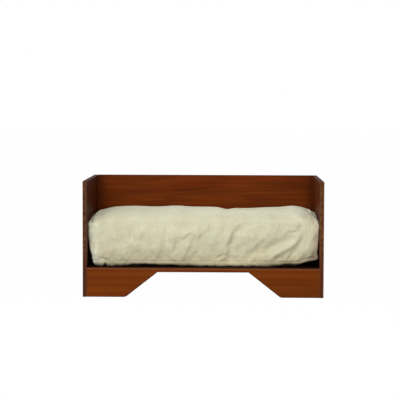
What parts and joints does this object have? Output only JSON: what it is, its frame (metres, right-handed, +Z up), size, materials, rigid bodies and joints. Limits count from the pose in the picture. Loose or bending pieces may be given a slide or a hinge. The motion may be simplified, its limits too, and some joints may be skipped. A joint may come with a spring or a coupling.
{
  "type": "dog sofa bed",
  "caption": "Low wooden dog sofa bed, open at the front and top, with a trapezoid cut-out under the deck and a plump zipped box cushion that lifts out.",
  "frame": {"origin": "on the floor under the middle of the wooden frame", "axes": "+X to the right seen from the front, along the width; +Y from the front to the back; +Z up"},
  "size_m": [0.9, 0.5, 0.434],
  "materials": {
    "stained_wood": "satin",
    "bare_wood": "matte",
    "zinc_screw": "satin",
    "canvas": "matte",
    "fibre_fill": "matte",
    "zip_tape": "matte",
    "zip_nylon": "satin",
    "zip_metal": "satin"
  },
  "bodies": {
    "frame": {"left_side_panel": "stained_wood", "right_side_panel": "stained_wood", "back_panel": "stained_wood", "front_apron": "stained_wood", "deck_panel": "stained_wood", "left_deck_cleat": "stained_wood", "right_deck_cleat": "stained_wood", "front_left_cleat": "stained_wood", "front_right_cleat": "stained_wood", "rear_left_cleat": "stained_wood", "rear_right_cleat": "stained_wood", "left_apron_dowels": "bare_wood", "right_apron_dowels": "bare_wood", "left_back_dowels": "bare_wood", "right_back_dowels": "bare_wood", "front_deck_dowels": "bare_wood", "rear_deck_dowels": "bare_wood", "left_cleat_screws": "zinc_screw", "right_cleat_screws": "zinc_screw", "front_cleat_screws": "zinc_screw", "rear_cleat_screws": "zinc_screw", "deck_screws": "zinc_screw"},
    "cushion": {"cushion_cover": "canvas", "cushion_filling": "fibre_fill", "zipper_tape": "zip_tape", "zipper_coil": "zip_nylon", "zipper_stops": "zip_nylon"},
    "zipper_slider": {"zipper_slider": "zip_metal"},
    "zipper_pull": {"zipper_pull": "zip_metal"}
  },
  "joints": [
    {"name": "cushion_lift", "type": "slide", "parent": "frame", "child": "cushion", "axis": [0, 0, 1], "range_m": [0, 0.36]},
    {"name": "zipper_slide", "type": "slide", "parent": "cushion", "child": "zipper_slider", "axis": [-1, 0, 0], "range_m": [0, 0.632]},
    {"name": "zipper_pull_turn", "type": "hinge", "parent": "zipper_slider", "child": "zipper_pull", "pos_m": [0.3137, 0.2199, 0.1713], "axis": [0, 0, -1], "range_deg": [0, 30]}
  ]
}
